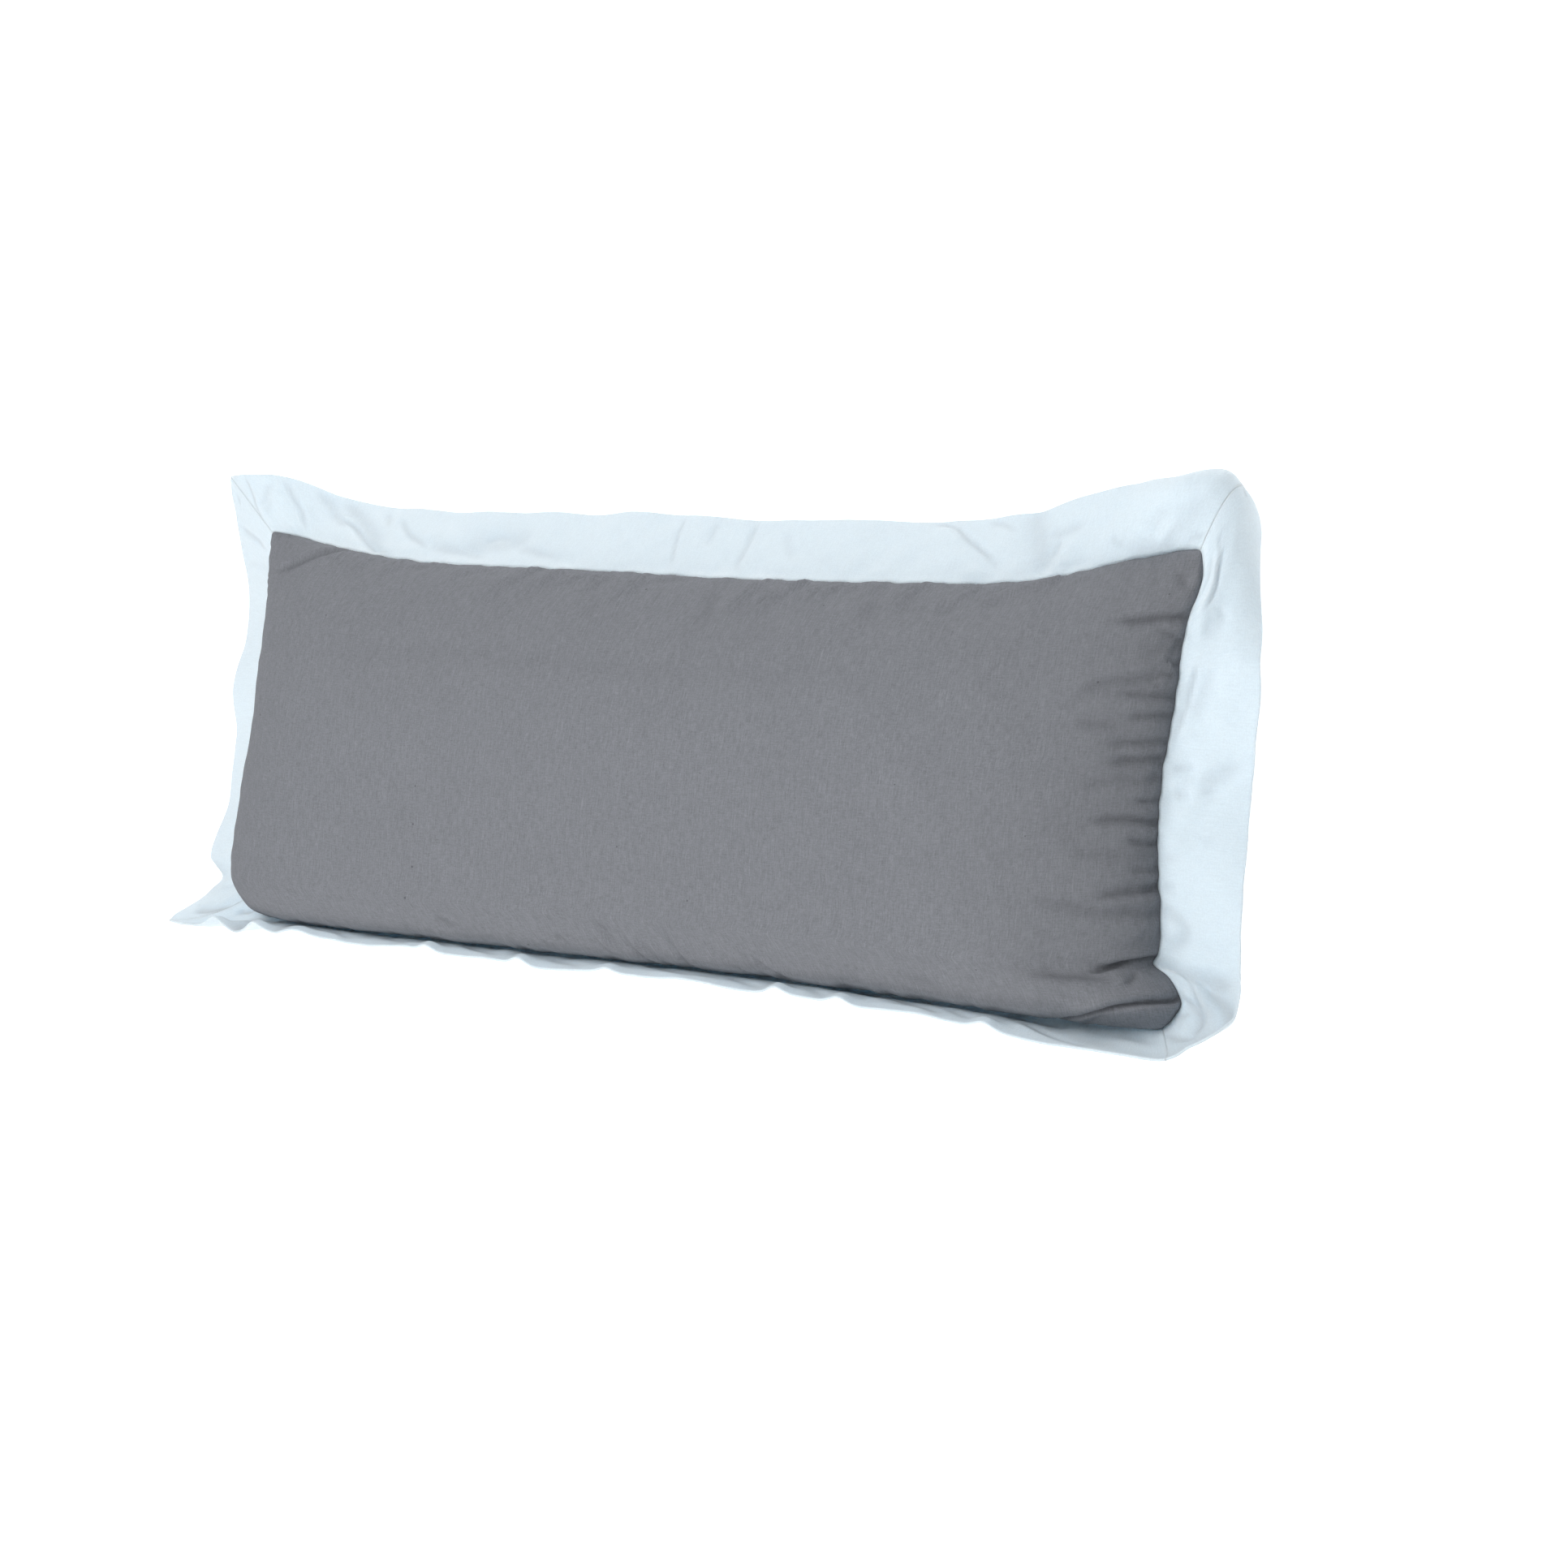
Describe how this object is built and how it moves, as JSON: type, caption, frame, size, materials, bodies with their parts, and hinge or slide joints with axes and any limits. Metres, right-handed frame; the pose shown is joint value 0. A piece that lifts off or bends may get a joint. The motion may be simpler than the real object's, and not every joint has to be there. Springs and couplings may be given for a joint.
{
  "type": "lumbar pillow",
  "caption": "Long filled lumbar pillow in grey cotton with a flat white mitred border, lying on its back.",
  "frame": {"origin": "under the middle of the pillow's box, on the surface its back rests on", "axes": "+X along the pillow, +Y across it to the long edge whose border lies open, +Z out of its face"},
  "size_m": [1.0212, 0.4084, 0.1328],
  "materials": {
    "panel_cloth": "matte plain-weave cotton, mid grey",
    "border_cloth": "matte plain-weave cotton, cool white"
  },
  "bodies": {
    "root": {"pillow_body": "panel_cloth", "flange_top": "border_cloth", "flange_bottom": "border_cloth", "flange_right": "border_cloth", "flange_left": "border_cloth"}
  },
  "joints": []
}
